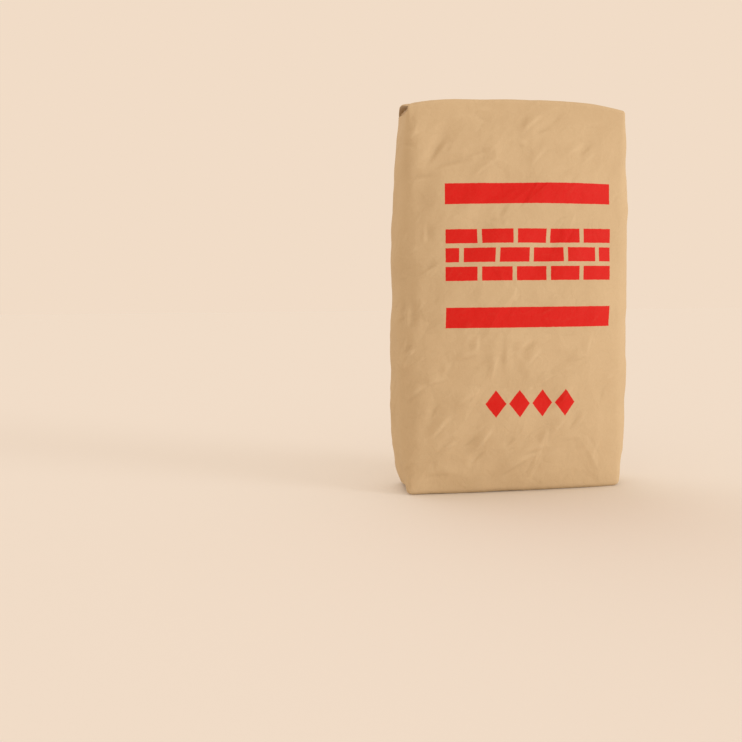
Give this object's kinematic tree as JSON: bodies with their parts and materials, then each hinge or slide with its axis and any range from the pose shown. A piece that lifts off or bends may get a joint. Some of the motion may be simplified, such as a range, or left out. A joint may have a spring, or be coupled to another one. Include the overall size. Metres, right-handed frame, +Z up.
{
  "type": "cement bag",
  "caption": "Filled kraft paper sack of cement that stands upright on its pasted bottom, with crowned faces and a valve slit in the top left corner.",
  "frame": {"origin": "middle of the sack's flat bottom, on the floor", "axes": "+Z up along the sack's height, -Y out of the printed front, +X to the front's right as it is read"},
  "size_m": [0.3954, 0.1722, 0.6265],
  "materials": {
    "kraft_paper": "matte, crumpled, with two red bars, a band of red bricks and a row of red lozenges printed on the front",
    "sleeve_paper": "matte",
    "cement_powder": "dry grey powder"
  },
  "bodies": {
    "root": {"paper_sack": "kraft_paper", "valve_sleeve": "sleeve_paper", "cement_fill": "cement_powder"}
  },
  "joints": []
}
